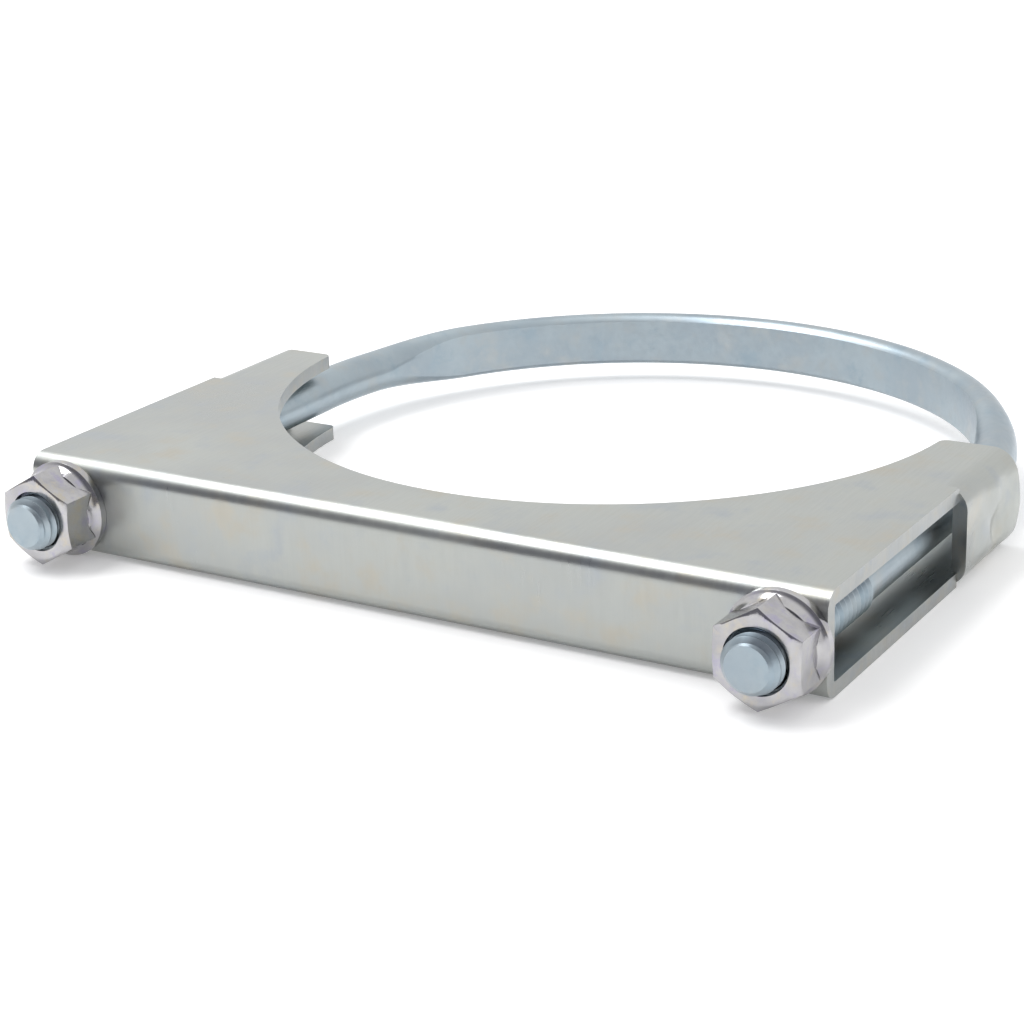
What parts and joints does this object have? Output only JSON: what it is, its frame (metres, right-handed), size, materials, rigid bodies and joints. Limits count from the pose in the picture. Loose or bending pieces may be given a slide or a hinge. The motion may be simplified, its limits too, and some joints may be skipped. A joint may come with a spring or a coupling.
{
  "type": "u-bolt exhaust clamp",
  "caption": "Heavy exhaust clamp: a U-bolt with a flattened arc and threaded legs, a pressed channel saddle with a round cut-out, and hex flange nuts.",
  "frame": {"origin": "axis of the clamped pipe, half-way up the saddle", "axes": "+Z along the pipe's axis, +Y towards the crown of the U, -Y towards the nuts, X from the left leg (-) to the right leg (+)"},
  "size_m": [0.1538, 0.158, 0.0172],
  "materials": {
    "bolt_zinc": "bright zinc plate on rolled rod, cool blue-grey",
    "saddle_zinc": "satin zinc plate on pressed sheet, faintly yellow and blue in patches",
    "nut_zinc": "bright zinc plate, shinier than the sheet"
  },
  "bodies": {
    "u_bolt": {"u_bolt": "bolt_zinc"},
    "saddle": {"saddle": "saddle_zinc"},
    "left_nut": {"left_nut": "nut_zinc"},
    "right_nut": {"right_nut": "nut_zinc"}
  },
  "joints": [
    {"name": "saddle_slide", "type": "slide", "parent": "u_bolt", "child": "saddle", "axis": [0, 1, 0], "range_m": [-0.003, 0.024]},
    {"name": "left_nut_turn", "type": "hinge", "parent": "saddle", "child": "left_nut", "pos_m": [-0.068, -0.07775, 0], "axis": [0, 1, 0], "range_deg": [-690, 5450]},
    {"name": "right_nut_turn", "type": "hinge", "parent": "saddle", "child": "right_nut", "pos_m": [0.068, -0.07775, 0], "axis": [0, 1, 0], "range_deg": [-690, 5450]}
  ],
  "couplings": [
    {"joint": "left_nut_turn", "follows": "saddle_slide", "rad_per_m": 3957.9},
    {"joint": "right_nut_turn", "follows": "saddle_slide", "rad_per_m": 3957.9}
  ]
}
